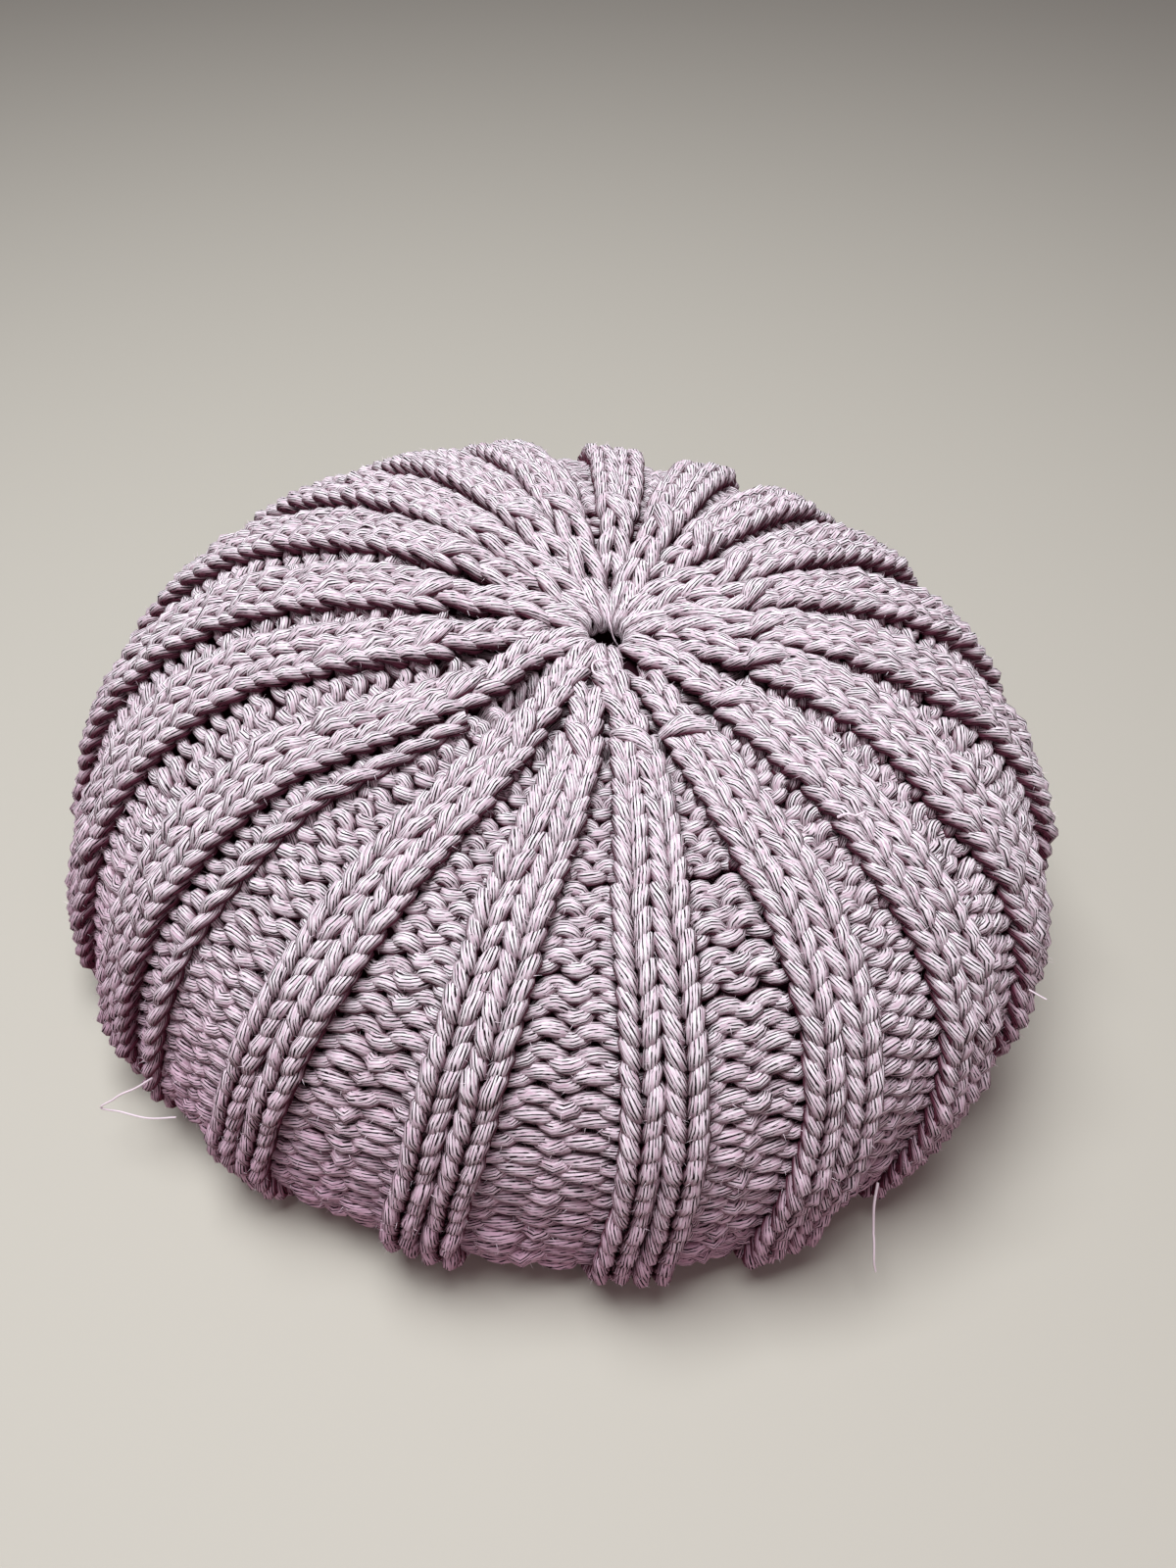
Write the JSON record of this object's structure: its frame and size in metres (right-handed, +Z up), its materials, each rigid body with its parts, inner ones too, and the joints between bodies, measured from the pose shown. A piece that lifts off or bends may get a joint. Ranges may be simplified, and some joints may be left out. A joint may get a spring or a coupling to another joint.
{
  "type": "knitted floor pouf",
  "caption": "Round, low, filled floor pouf knitted in chunky rib, its ribs gathered to a small hole at the crown.",
  "frame": {"origin": "on the floor under the middle of the pouf's box", "axes": "+Z up; the front of the picture, with the seam to its left, is at -Y; +X is to the right"},
  "size_m": [0.4798, 0.4324, 0.2007],
  "materials": {
    "pink_cotton": "matte chunky cotton knit"
  },
  "bodies": {
    "root": {"knit_cover": "pink_cotton"}
  },
  "joints": []
}
